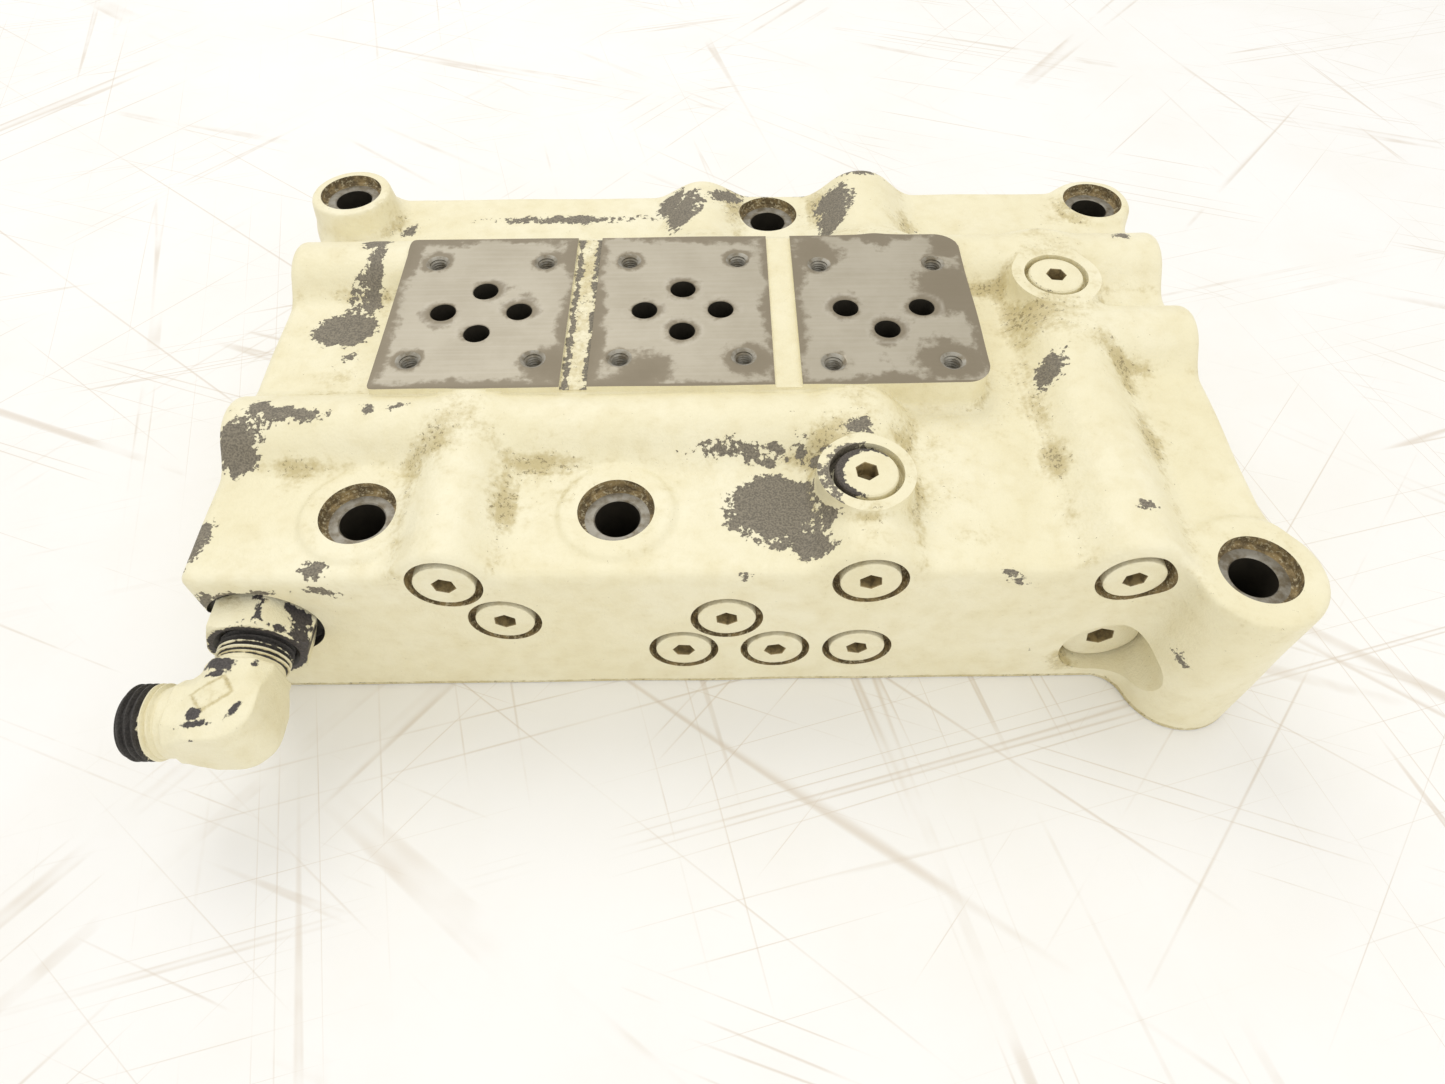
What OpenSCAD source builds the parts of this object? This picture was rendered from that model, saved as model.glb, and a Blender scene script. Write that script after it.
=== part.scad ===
// Three-station subplate manifold for stacked directional valves.
// One iron casting, drilled from the front and capped with hollow-hex port plugs,
// with an adjustable 90 degree tube elbow in the front left port.
// Frame: base face on z = 0, origin under the middle station, x to the right, y to the rear.

/* [Casting] */
// Left end face of the casting
left_x = -115; // [-130:0.5:-100]
// Right end face of the casting
right_x = 140; // [125:0.5:155]
// Front face that carries the plugs
front_y = -83; // [-95:0.5:-75]
// Rear face
rear_y = 70.5; // [60:0.5:80]
// Height of the low cast deck
deck_z = 51; // [45:0.5:56]
// Height of the rear flange
flange_z = 49; // [43:0.5:54]
// Rounding of the cast top edges
cast_edge_r = 2.5; // [1:0.25:4]
// Radius of the cast fillets along the ridges
ridge_fillet_r = 3; // [1.5:0.25:4]

/* [Valve pads] */
// Height of the machined pads over the base
pad_z = 60; // [56:0.5:66]
// Distance between stations
station_pitch = 55; // [50:0.5:60]
// Half the length of the pad block
pad_half_x = 80; // [75:0.5:85]
// Front edge of the pads
pad_front_y = -31; // [-35:0.5:-28]
// Rear edge of the pads
pad_rear_y = 31.5; // [28:0.5:35]
// Corner radius of the right pad corners
pad_corner_r = 7; // [3:0.5:10]
// Width of the grooves between the pads
groove_w = 7; // [5:0.5:9]
// Depth of the grooves between the pads
groove_depth = 1; // [0.5:0.1:2]

/* [Valve interface] */
// Valve port radius
port_r = 3.5; // [3:0.05:3.75]
// Distance from the station centre to the pressure and tank ports
port_side_x = 10.4; // [10:0.05:11]
// Pressure and tank ports, distance behind the station centre
port_side_y = -1.25; // [-2:0.05:0]
// Rear work port, distance behind the station centre
port_rear_y = 7.55; // [7:0.05:8]
// Front work port, distance behind the station centre
port_front_y = -9.95; // [-11:0.05:-9]
// Shift of the third station towards the front
third_shift_y = -2.5; // [-4:0.1:0]
// Half spacing of the narrow bolt pair
bolt_narrow_x = 15.5; // [15:0.05:16]
// Half spacing of the wide bolt pair
bolt_wide_x = 16.25; // [16:0.05:17]
// Distance of each bolt pair from the station centre
bolt_y = 20.25; // [19:0.05:21]
// Radius of the tapped bolt holes
bolt_hole_r = 2.5; // [2:0.05:3]
// Radius of the flat countersinks at the bolt holes
bolt_sink_r = 3.4; // [2.6:0.1:4]
// Depth of the flat countersinks at the bolt holes
bolt_sink_depth = 0.4; // [0.2:0.05:0.5]
// Depth of the tapped bolt holes
bolt_hole_depth = 13; // [10:0.5:18]

/* [Mounting holes] */
// Through hole radius for the mounting screws
screw_hole_r = 5.5; // [4.5:0.1:6.5]
// Counterbore radius for the screw heads
screw_seat_r = 9.25; // [8:0.05:10]
// Left front hole, distance across
screw_left_x = -77; // [-85:0.5:-70]
// Middle front hole, distance across
screw_mid_x = -15.3; // [-20:0.1:-10]
// Front holes, distance back
screw_front_y = -64.2; // [-70:0.1:-60]
// Right holes, distance across
screw_right_x = 131.5; // [125:0.5:136]
// Lug hole, distance back
lug_y = -84; // [-90:0.5:-78]
// Radius of the front right lug
lug_r = 15.5; // [13:0.5:18]
// Top of the front right lug
lug_z = 52.5; // [50:0.5:56]
// Left rear hole, distance across
screw_rear_left_x = -105; // [-110:0.5:-100]
// Middle rear hole, distance across
screw_rear_mid_x = 26.2; // [22:0.1:30]
// Left and middle rear holes, distance back
screw_rear_y = 59; // [55:0.5:62]
// Right rear hole, distance back
screw_rear_right_y = 62.5; // [58:0.5:66]

/* [Cast ridges] */
// Radius of the cast wall around the upper drillings
ridge_r = 12.5; // [11:0.1:14]
// Height of the upper drillings
ridge_z = 47; // [44:0.1:50]
// Front ridge, distance back
front_ridge_y = -37; // [-42:0.5:-33]
// Right end of the front ridge
front_ridge_end_x = 46; // [35:0.5:60]
// Rear ridge, distance back
rear_ridge_y = 28; // [24:0.5:32]
// Short right ridge, distance back
side_ridge_y = -5.5; // [-12:0.5:0]
// Small rear hump, distance across
small_hump_x = 5; // [0:0.5:10]
// Small rear hump radius
small_hump_r = 11; // [9:0.5:13]
// Small rear hump, height of its axis
small_hump_z = 43.7; // [40:0.1:48]
// Large rear hump, distance across
large_hump_x = 56; // [50:0.5:62]
// Large rear hump radius
large_hump_r = 13.5; // [11:0.5:15]
// Large rear hump, height of its axis
large_hump_z = 44.5; // [40:0.1:48]

/* [Port plugs] */
// Head radius of the small plugs
plug_head_r = 7.1; // [6:0.05:8]
// Head height of the small plugs
plug_head_h = 3.4; // [2.5:0.1:4.5]
// Radius of the counterbore round a small plug head
plug_seat_r = 8.9; // [8:0.05:10]
// Thread radius of the small plugs
plug_thread_r = 5.56; // [5:0.01:6]
// Thread pitch of the small plugs
plug_pitch = 1.27; // [1:0.01:1.5]
// Socket size across flats of the small plugs
plug_hex = 4.76; // [4:0.01:6]
// Head radius of the top plugs
top_head_r = 7.6; // [7:0.05:8.5]
// Head radius of the low right plug
low_head_r = 9.9; // [9:0.05:11]
// Socket size across flats of the low right plug
low_hex = 6.35; // [5:0.01:8]
// Thread radius of the low right plug
low_thread_r = 7.14; // [6:0.01:8]
// Radius of the pocket milled for the low right plug
low_pocket_r = 11.4; // [10:0.1:13]
// Depth of the low right plug head behind the front face
low_sunk = 3.7; // [2:0.1:6]

/* [Front plug places] */
// Front plug 1, distance across
front_1_x = -54.2; // [-60:0.1:-50]
// Front plug 1, height
front_1_z = 48; // [44:0.1:50]
// Front plug 2, distance across
front_2_x = -43.2; // [-48:0.1:-38]
// Front plug 2, height
front_2_z = 32.3; // [28:0.1:36]
// Front plug 3, distance across
front_3_x = -0.2; // [-5:0.1:5]
// Front plug 3, height
front_3_z = 17; // [13:0.1:21]
// Front plug 4, distance across
front_4_x = 10.9; // [6:0.1:15]
// Front plug 4, height
front_4_z = 32.1; // [28:0.1:36]
// Front plug 5, distance across
front_5_x = 23.3; // [19:0.1:28]
// Front plug 5, height
front_5_z = 16.6; // [13:0.1:21]
// Front plug 6, distance across
front_6_x = 44.4; // [40:0.1:48]
// Front plug 6, height
front_6_z = 17; // [13:0.1:21]
// Front plug 7, distance across
front_7_x = 44.2; // [40:0.1:48]
// Front plug 7, height
front_7_z = 47.6; // [44:0.1:50]
// Front plug 8, distance across
front_8_x = 105.3; // [100:0.1:110]
// Front plug 8, height
front_8_z = 47.2; // [44:0.1:50]
// Low right plug, distance across
low_x = 108.9; // [104:0.1:112]
// Low right plug, height
low_z = 15.2; // [13:0.1:20]

/* [Top bosses] */
// Front boss, distance back
front_boss_y = -60; // [-65:0.5:-55]
// Front boss radius
front_boss_r = 11.8; // [10:0.1:13]
// Rear boss, distance back
rear_boss_y = 12; // [5:0.5:18]
// Rear boss radius
rear_boss_r = 12.5; // [11:0.1:14]

/* [Tube elbow] */
// Elbow port, distance across
elbow_x = -101.4; // [-105:0.1:-98]
// Elbow port, height
elbow_z = 32.3; // [28:0.1:36]
// Thread radius of the port end
stud_r = 8.33; // [7:0.01:10]
// Thread radius of the tube end
tube_end_r = 8.73; // [8:0.01:10]
// Thread pitch of the port end
stud_pitch = 1.337; // [1:0.001:2]
// Thread pitch of the tube end
tube_pitch = 1.588; // [1:0.001:2]
// Distance from the front face to the bend
bend_out = 25.6; // [22:0.1:32]
// Distance from the bend to the tube end face
leg_length = 22.2; // [20:0.1:30]
// Half the width of the forged body
body_half = 8.4; // [8:0.1:10]
// Flow bore radius
flow_r = 4; // [3:0.1:4.5]
// Lock nut size across flats
nut_af = 22.2; // [20:0.1:25]
// Lock nut thickness
nut_h = 9; // [7:0.1:11]
// Lock nut rotation when tight
nut_turn = 8; // [0:1:59]
// Radius of the spotface round the elbow port
elbow_seat_r = 13.4; // [12:0.1:15]
// Depth of the spotface round the elbow port
elbow_seat_depth = 3; // [1:0.1:5]

/* [Hidden] */
$fn = 64;
run_gap = 0.05;
deck_len = right_x - left_x;
deck_depth = rear_ridge_y - front_y;
flange_depth = rear_y - rear_ridge_y;
washer_h = 1.2;
plug_floor = plug_head_h;
low_head_h = 4;
low_floor = low_sunk + low_head_h;
seal_r = 0.91;
gallery_r = 4;
iron = [0.93, 0.9, 0.78];
steel = [0.9, 0.87, 0.74];
bare = [0.3, 0.29, 0.28];
black_rubber = [0.08, 0.08, 0.08];

// Sub-part to draw, or all of them

// ---------- placing ----------

// Local z runs out of the front face, local y runs up.
module on_front(x, z) {
    translate([x, front_y, z]) rotate([90, 0, 0]) children();
}

module on_top(x, y) {
    translate([x, y, pad_z]) children();
}

// ---------- cast skin ----------

module rounded_top(w, h, r) {
    square([w, h - r]);
    translate([r, 0]) square([w - 2 * r, h]);
    translate([r, h - r]) circle(r);
    translate([w - r, h - r]) circle(r);
}

// Slab over the full length with rounded top edges on all four sides.
module slab(y0, depth, h) {
    intersection() {
        translate([left_x, y0, 0])
            rotate([90, 0, 90]) linear_extrude(deck_len) rounded_top(depth, h, cast_edge_r);
        translate([left_x, y0 + depth, 0])
            rotate([90, 0, 0]) linear_extrude(depth) rounded_top(deck_len, h, cast_edge_r);
    }
}

module cast_block() {
    slab(front_y, deck_depth + 6, deck_z);
    slab(rear_ridge_y - 6, flange_depth + 6, flange_z);
}

// Upright round column with a rounded top edge.
module column(r, h, edge) {
    rotate_extrude() {
        square([r, h - edge]);
        square([r - edge, h]);
        translate([r - edge, h - edge]) circle(edge);
    }
}

// Section of a ridge: the round wall of a drilling and the two fillets at its foot.
module ridge_section(r, z, floor_z) {
    side_z = floor_z + ridge_fillet_r;
    foot = sqrt(pow(r + ridge_fillet_r, 2) - pow(side_z - z, 2));
    translate([0, z]) circle(r);
    difference() {
        polygon([
            [-foot, z - 3], [foot, z - 3], [foot, side_z], [0, z], [-foot, side_z]
        ]);
        translate([foot, side_z]) circle(ridge_fillet_r);
        translate([-foot, side_z]) circle(ridge_fillet_r);
    }
}

module ridge_along_x(x0, x1, y, r) {
    translate([x0, y, 0])
        rotate([90, 0, 90]) linear_extrude(x1 - x0) ridge_section(r, ridge_z, deck_z);
}

module ridge_along_y(y0, y1, x, r, z, floor_z = deck_z) {
    translate([x, y1, 0]) rotate([90, 0, 0]) linear_extrude(y1 - y0) ridge_section(r, z, floor_z);
}

module ridges() {
    ridge_along_x(left_x, front_ridge_end_x, front_ridge_y, ridge_r);
    translate([front_ridge_end_x, front_ridge_y, ridge_z]) sphere(ridge_r);
    ridge_along_x(left_x, right_x, rear_ridge_y, ridge_r);
    ridge_along_x(front_8_x, right_x, side_ridge_y, ridge_r);
    ridge_along_y(front_y, front_ridge_y, front_1_x, ridge_r - 1.5, front_1_z);
    ridge_along_y(front_y, front_ridge_y, front_7_x, ridge_r - 1.5, front_7_z);
    ridge_along_y(front_y, rear_ridge_y, front_8_x, ridge_r - 0.3, front_8_z);
    ridge_along_y(rear_ridge_y, rear_y, small_hump_x, small_hump_r, small_hump_z, flange_z);
    ridge_along_y(rear_ridge_y, rear_y, large_hump_x, large_hump_r, large_hump_z, flange_z);
}

// Lug at the front right, faired into the front face and the right end face.
module lug() {
    front_r = 8;
    side_r = 20;
    front_c = [
        screw_right_x - sqrt(pow(lug_r + front_r, 2) - pow(front_y - front_r - lug_y, 2)),
        front_y - front_r
    ];
    side_c = [
        right_x + side_r,
        lug_y + sqrt(pow(lug_r + side_r, 2) - pow(right_x + side_r - screw_right_x, 2))
    ];
    translate([screw_right_x, lug_y, 0]) column(lug_r, lug_z, cast_edge_r);
    linear_extrude(deck_z - 0.5) difference() {
        polygon([
            [front_c[0], front_y + 6], [front_c[0], front_c[1]], [screw_right_x, lug_y],
            [screw_right_x, front_y + 6]
        ]);
        translate(front_c) circle(front_r);
    }
    linear_extrude(deck_z - 0.5) difference() {
        polygon([[screw_right_x, side_c[1]], [side_c[0], side_c[1]], [screw_right_x, lug_y]]);
        translate(side_c) circle(side_r);
    }
}

module rear_lobes() {
    translate([screw_rear_left_x, screw_rear_y, 0]) {
        cylinder(r = 13.5, h = flange_z);
        translate([0, 0, flange_z]) cylinder(r1 = 13.5, r2 = 12, h = 9.4);
    }
    translate([screw_right_x, screw_rear_right_y, 0]) column(12.3, flange_z + 1.2, 1.5);
}

module screw_bosses() {
    for (x = [screw_left_x, screw_mid_x])
        translate([x, screw_front_y, deck_z - 5]) column(13.8, 5.9, 0.8);
}

module top_bosses() {
    translate([front_7_x, front_boss_y, deck_z - 5]) column(front_boss_r, pad_z - deck_z + 5, 0.6);
    translate([front_8_x, rear_boss_y, deck_z - 5]) column(rear_boss_r, pad_z - deck_z + 5, 0.6);
}

// ---------- machined pads ----------

module pad_block() {
    translate([0, 0, deck_z - 6]) linear_extrude(pad_z - deck_z + 6) {
        translate([-pad_half_x, pad_front_y])
            square([2 * pad_half_x - pad_corner_r, pad_rear_y - pad_front_y]);
        translate([0, pad_front_y + pad_corner_r])
            square([pad_half_x, pad_rear_y - pad_front_y - 2 * pad_corner_r]);
        for (y = [pad_front_y + pad_corner_r, pad_rear_y - pad_corner_r])
            translate([pad_half_x - pad_corner_r, y]) circle(pad_corner_r);
    }
}

module groove_between(x) {
    translate([x - groove_w / 2, pad_front_y - 1, pad_z - groove_depth])
        cube([groove_w, pad_rear_y - pad_front_y + 2, groove_depth + 1]);
}

module valve_port(x, y, floor_z) {
    translate([x, y, floor_z]) cylinder(r = port_r, h = pad_z - floor_z + 1);
}

module bolt_hole(x, y) {
    translate([x, y, pad_z - bolt_hole_depth]) cylinder(r = bolt_hole_r, h = bolt_hole_depth + 1);
    translate([x, y, pad_z - bolt_sink_depth])
        cylinder(r1 = bolt_hole_r, r2 = bolt_sink_r, h = bolt_sink_depth + 0.001);
}

// facing = 1 puts the narrow pair at the rear, -1 turns the station half round.
module station_bolts(x, y, facing) {
    for (side = [-1, 1]) {
        bolt_hole(x + side * bolt_narrow_x, y + facing * bolt_y);
        bolt_hole(x + side * bolt_wide_x, y - facing * bolt_y);
    }
}

// ---------- drillings ----------

// Straight port for a small plug: counterbore, seal chamfer, tapped hole and gallery.
module plug_port(head_seat_r, depth) {
    translate([0, 0, -plug_floor]) cylinder(r = head_seat_r, h = plug_floor + 12);
    translate([0, 0, -plug_floor - 2.1]) cylinder(r = 6.45, h = 2.2);
    translate([0, 0, -plug_floor - 12.5]) cylinder(r = plug_thread_r + run_gap, h = 12.6);
    translate([0, 0, -depth]) cylinder(r = gallery_r, h = depth - plug_floor);
}

module low_port() {
    translate([0, 0, -low_floor]) cylinder(r = low_pocket_r, h = low_floor + 22);
    translate([0, 0, -low_floor - 2.3]) cylinder(r = 8.1, h = 2.4);
    translate([0, 0, -low_floor - 13.5]) cylinder(r = low_thread_r + run_gap, h = 13.6);
    translate([0, 0, -70]) cylinder(r = 5, h = 60);
}

module elbow_port() {
    translate([0, 0, -elbow_seat_depth]) cylinder(r = elbow_seat_r, h = elbow_seat_depth + 1);
    translate([0, 0, -elbow_seat_depth - 2.6]) cylinder(r = 9.5, h = 2.7);
    translate([0, 0, -elbow_seat_depth - 15.5]) cylinder(r = stud_r + run_gap, h = 15.6);
    translate([0, 0, -58]) cylinder(r = 6, h = 50);
}

module screw_hole(x, y, seat_z) {
    translate([x, y, -1]) cylinder(r = screw_hole_r, h = pad_z + 1);
    translate([x, y, seat_z]) cylinder(r = screw_seat_r, h = pad_z);
}

module drillings() {
    on_front(front_1_x, front_1_z) plug_port(plug_seat_r, 77);
    on_front(front_2_x, front_2_z) plug_port(plug_seat_r, 85);
    on_front(front_3_x, front_3_z) plug_port(plug_seat_r, 94);
    on_front(front_4_x, front_4_z) plug_port(plug_seat_r, 85);
    on_front(front_5_x, front_5_z) plug_port(plug_seat_r, 60);
    on_front(front_6_x, front_6_z) plug_port(plug_seat_r, 85);
    on_front(front_7_x, front_7_z) plug_port(plug_seat_r, 76);
    on_front(front_8_x, front_8_z) plug_port(plug_seat_r, 99);
    on_front(low_x, low_z) low_port();
    on_front(elbow_x, elbow_z) elbow_port();
    on_top(front_7_x, front_boss_y) plug_port(plug_seat_r, 30);
    on_top(front_8_x, rear_boss_y) plug_port(plug_seat_r, 30);
}

module valve_ports() {
    for (x = [-station_pitch, 0]) {
        valve_port(x, port_rear_y, x == 0 ? 17 : 36);
        valve_port(x, port_front_y, x == 0 ? 40 : 46);
        valve_port(x - port_side_x, port_side_y, 30);
        valve_port(x + port_side_x, port_side_y, 31);
    }
    valve_port(station_pitch, third_shift_y - port_rear_y, 30);
    valve_port(station_pitch - port_side_x, port_side_y, 17);
    valve_port(station_pitch + port_side_x, port_side_y, 30);
}

module manifold_body() {
    color(iron) difference() {
        union() {
            cast_block();
            ridges();
            lug();
            rear_lobes();
            screw_bosses();
            pad_block();
            top_bosses();
        }
        groove_between(-station_pitch / 2);
        groove_between(station_pitch / 2);
        valve_ports();
        station_bolts(-station_pitch, 0, 1);
        station_bolts(0, 0, 1);
        station_bolts(station_pitch, third_shift_y, -1);
        screw_hole(screw_left_x, screw_front_y, 48.5);
        screw_hole(screw_mid_x, screw_front_y, 48.5);
        screw_hole(screw_right_x, lug_y, 49.3);
        screw_hole(screw_right_x, screw_rear_right_y, 47);
        screw_hole(screw_rear_mid_x, screw_rear_y, 46);
        screw_hole(screw_rear_left_x, screw_rear_y, 55.5);
        drillings();
    }
}

// ---------- threads ----------

// Ring-cut thread form, from z = 0 up.
module thread(r, pitch, length) {
    turns = floor(length / pitch);
    depth = 0.55 * pitch;
    rotate_extrude() polygon(concat(
        [[0, 0], [r - depth, 0]],
        [for (i = [0:turns - 1], k = [0:3])
            [r - (k == 1 || k == 2 ? 0 : depth), (i + [0.1, 0.4, 0.6, 0.9][k]) * pitch]],
        [[r - depth, length], [0, length]]
    ));
}

// ---------- plugs and their seals ----------

// Hollow-hex plug with its head top on z = 0.
module port_plug(head_r, head_h, thread_r, hex_af, length) {
    relief_r = thread_r - 1.12;
    difference() {
        union() {
            translate([0, 0, -head_h]) rotate_extrude() {
                square([head_r, head_h - 0.4]);
                polygon([[0, 0], [head_r, head_h - 0.4], [head_r - 0.4, head_h], [0, head_h]]);
            }
            translate([0, 0, -head_h - 2.2]) cylinder(r = relief_r, h = 2.3);
            translate([0, 0, -head_h - length]) thread(thread_r, plug_pitch, length - 2.1);
        }
        translate([0, 0, -head_h - 1]) cylinder(r = hex_af / sqrt(3), h = head_h + 2, $fn = 6);
        translate([0, 0, -head_h - 2]) cylinder(r1 = 0.2, r2 = hex_af / 2 - 0.3, h = 1.1);
    }
}

module small_plug() {
    color(steel) port_plug(plug_head_r, plug_head_h, plug_thread_r, plug_hex, 10);
}

module top_plug() {
    color(steel) port_plug(top_head_r, plug_head_h, plug_thread_r, plug_hex, 10);
}

// Seal ring lying under a head whose underside is on z = 0.
module seal(inner_r, section_r) {
    color(black_rubber) translate([0, 0, -section_r - 0.05])
        rotate_extrude() translate([inner_r + section_r, 0]) circle(section_r);
}

module small_seal() {
    translate([0, 0, -plug_floor]) seal(plug_thread_r - 1.06, seal_r);
}

module front_plug_1() { on_front(front_1_x, front_1_z) small_plug(); }
module front_plug_2() { on_front(front_2_x, front_2_z) small_plug(); }
module front_plug_3() { on_front(front_3_x, front_3_z) small_plug(); }
module front_plug_4() { on_front(front_4_x, front_4_z) small_plug(); }
module front_plug_5() { on_front(front_5_x, front_5_z) small_plug(); }
module front_plug_6() { on_front(front_6_x, front_6_z) small_plug(); }
module front_plug_7() { on_front(front_7_x, front_7_z) small_plug(); }
module front_plug_8() { on_front(front_8_x, front_8_z) small_plug(); }

module low_plug() {
    on_front(low_x, low_z) translate([0, 0, -low_sunk])
        color(steel) port_plug(low_head_r, low_head_h, low_thread_r, low_hex, 11);
}

module top_plug_front() { on_top(front_7_x, front_boss_y) top_plug(); }
module top_plug_rear() { on_top(front_8_x, rear_boss_y) top_plug(); }

module front_seal_1() { on_front(front_1_x, front_1_z) small_seal(); }
module front_seal_2() { on_front(front_2_x, front_2_z) small_seal(); }
module front_seal_3() { on_front(front_3_x, front_3_z) small_seal(); }
module front_seal_4() { on_front(front_4_x, front_4_z) small_seal(); }
module front_seal_5() { on_front(front_5_x, front_5_z) small_seal(); }
module front_seal_6() { on_front(front_6_x, front_6_z) small_seal(); }
module front_seal_7() { on_front(front_7_x, front_7_z) small_seal(); }
module front_seal_8() { on_front(front_8_x, front_8_z) small_seal(); }

module low_seal() {
    on_front(low_x, low_z) translate([0, 0, -low_floor]) seal(low_thread_r - 1.06, 0.98);
}

module top_seal_front() { on_top(front_7_x, front_boss_y) small_seal(); }
module top_seal_rear() { on_top(front_8_x, rear_boss_y) small_seal(); }

// ---------- adjustable elbow ----------

module octagon_bar(length) {
    cut = 3.6;
    linear_extrude(length) polygon([
        [-body_half, -body_half + cut], [-body_half + cut, -body_half],
        [body_half - cut, -body_half], [body_half, -body_half + cut],
        [body_half, body_half - cut], [body_half - cut, body_half],
        [-body_half + cut, body_half], [-body_half, body_half - cut]
    ]);
}

// Side outline of the forging: two arms, a round back and a filled inner corner.
module elbow_outline() {
    hub = 13.4;
    arm = leg_length - 10.6;
    translate([-body_half, hub]) square([2 * body_half, bend_out - hub]);
    translate([-arm, bend_out - body_half]) square([arm, 2 * body_half]);
    translate([0, bend_out]) circle(body_half);
    polygon([[-body_half, hub + 0.6], [-arm + 0.4, bend_out - body_half], [0, bend_out]]);
}

module elbow_forging() {
    intersection() {
        translate([0, body_half, 0]) rotate([90, 0, 0]) linear_extrude(2 * body_half) elbow_outline();
        union() {
            octagon_bar(60);
            translate([30, 0, bend_out]) rotate([0, -90, 0]) octagon_bar(60);
            translate([-15, -body_half + 3, 0]) cube([15, 2 * body_half - 6, bend_out]);
        }
    }
    translate([-1.7, body_half - 0.5, bend_out - 2.6])
        rotate([-90, 0, 0]) rotate([0, 0, 40]) translate([-3.7, -2.7, 0]) cube([7.4, 5.4, 0.9]);
}

module elbow_body() {
    leg_thread = 8;
    on_front(elbow_x, elbow_z) color(steel) difference() {
        union() {
            elbow_forging();
            translate([0, 0, -17]) thread(stud_r, stud_pitch, 9.4);
            translate([0, 0, -17]) cylinder(r = 7, h = 31);
            translate([0, 0, -1.2]) thread(stud_r, stud_pitch, 13.4);
            translate([0, 0, 12]) cylinder(r = 7.7, h = 2);
            translate([-leg_length, 0, bend_out]) rotate([0, 90, 0]) {
                cylinder(r = 7.6, h = leg_length - 8);
                translate([0, 0, 0.4]) thread(tube_end_r, tube_pitch, leg_thread);
                translate([0, 0, 8.7]) cylinder(r = 8.1, h = 4);
            }
        }
        translate([0, 0, -18]) cylinder(r = flow_r, h = bend_out + 18);
        translate([0, 0, bend_out]) sphere(flow_r);
        translate([-leg_length - 1, 0, bend_out]) rotate([0, 90, 0]) {
            cylinder(r = flow_r, h = leg_length + 1);
            difference() {
                cylinder(r = 6.5, h = 2.4);
                cylinder(r = 5.1, h = 2.4);
            }
        }
    }
}

module lock_nut() {
    corner_r = nut_af / sqrt(3);
    on_front(elbow_x, elbow_z)
        translate([0, 0, -elbow_seat_depth + washer_h])
            color(steel) difference() {
                intersection() {
                    rotate([0, 0, nut_turn]) cylinder(r = corner_r, h = nut_h, $fn = 6);
                    rotate_extrude() polygon([
                        [0, 0], [corner_r - 1.4, 0], [corner_r + 0.1, 0.9],
                        [corner_r + 0.1, nut_h - 0.9], [corner_r - 1.4, nut_h], [0, nut_h]
                    ]);
                }
                translate([0, 0, -1]) cylinder(r = stud_r + run_gap, h = nut_h + 2);
                translate([0, 0, nut_h - 0.6]) cylinder(r1 = stud_r, r2 = stud_r + 1, h = 1);
            }
}

module backup_washer() {
    on_front(elbow_x, elbow_z)
        translate([0, 0, -elbow_seat_depth])
            color(bare) difference() {
                cylinder(r = 11.2, h = washer_h);
                translate([0, 0, -1]) cylinder(r = stud_r + run_gap, h = washer_h + 2);
            }
}

module elbow_seal() {
    on_front(elbow_x, elbow_z) translate([0, 0, -elbow_seat_depth]) seal(7.05, 1.1);
}

// ---------- drawing ----------

manifold_body();
front_plug_1();
front_plug_2();
front_plug_3();
front_plug_4();
front_plug_5();
front_plug_6();
front_plug_7();
front_plug_8();
low_plug();
top_plug_front();
top_plug_rear();
front_seal_1();
front_seal_2();
front_seal_3();
front_seal_4();
front_seal_5();
front_seal_6();
front_seal_7();
front_seal_8();
low_seal();
top_seal_front();
top_seal_rear();
elbow_body();
lock_nut();
backup_washer();
elbow_seal();
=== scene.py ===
import math

import bpy
import numpy as np
import openvdb
from mathutils import Euler, Matrix

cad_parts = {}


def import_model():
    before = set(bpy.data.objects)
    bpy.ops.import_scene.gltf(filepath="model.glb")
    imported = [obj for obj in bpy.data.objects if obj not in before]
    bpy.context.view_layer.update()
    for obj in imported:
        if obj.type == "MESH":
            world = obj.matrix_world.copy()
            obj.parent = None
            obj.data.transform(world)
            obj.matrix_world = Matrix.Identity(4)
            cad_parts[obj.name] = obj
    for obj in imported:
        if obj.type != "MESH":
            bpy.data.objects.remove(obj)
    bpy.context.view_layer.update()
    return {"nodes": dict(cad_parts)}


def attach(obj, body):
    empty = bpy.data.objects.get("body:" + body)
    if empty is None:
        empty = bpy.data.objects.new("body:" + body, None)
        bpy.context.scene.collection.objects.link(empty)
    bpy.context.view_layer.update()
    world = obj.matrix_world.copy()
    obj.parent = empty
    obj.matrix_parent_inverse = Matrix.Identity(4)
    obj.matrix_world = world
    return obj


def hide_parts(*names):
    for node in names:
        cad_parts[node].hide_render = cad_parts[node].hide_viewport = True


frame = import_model()

# ------------------------------------------------------------------ rough casting
# One grey iron sand casting: a low block with round ridges over its upper drillings, screw
# bosses, a lug at the front right and a raised row for the valves. Every inside corner is
# filled with a moulder's fillet. Sizes are in millimetres, with the base face on z = 0.
LEFT, RIGHT, FRONT, REAR = -115.0, 140.0, -83.0, 70.5
DECK_Z, FLANGE_Z, PAD_Z = 51.0, 49.0, 60.0
RIDGE_Z, RIDGE_R = 47.0, 12.5
LUG = (131.5, -84.0)
SCREWS = [(-77.0, -64.2, 48.5), (-15.3, -64.2, 48.5), (LUG[0], LUG[1], 49.3),
          (131.5, 62.5, 47.0), (26.2, 59.0, 46.0), (-105.0, 59.0, 55.5)]
TOP_PLUGS = [(44.2, -60.0), (105.3, 12.0)]
CAST_EDGE = 2.5

CELL = 0.7
low = np.array([-124.0, -104.0, -3.0])
count = np.ceil((np.array([152.0, 80.0, 64.0]) - low) / CELL).astype(int)
x, y, z = [
    (low[i] + CELL * np.arange(count[i])).reshape(np.roll([-1, 1, 1], i)).astype(np.float32)
    for i in range(3)
]


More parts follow.
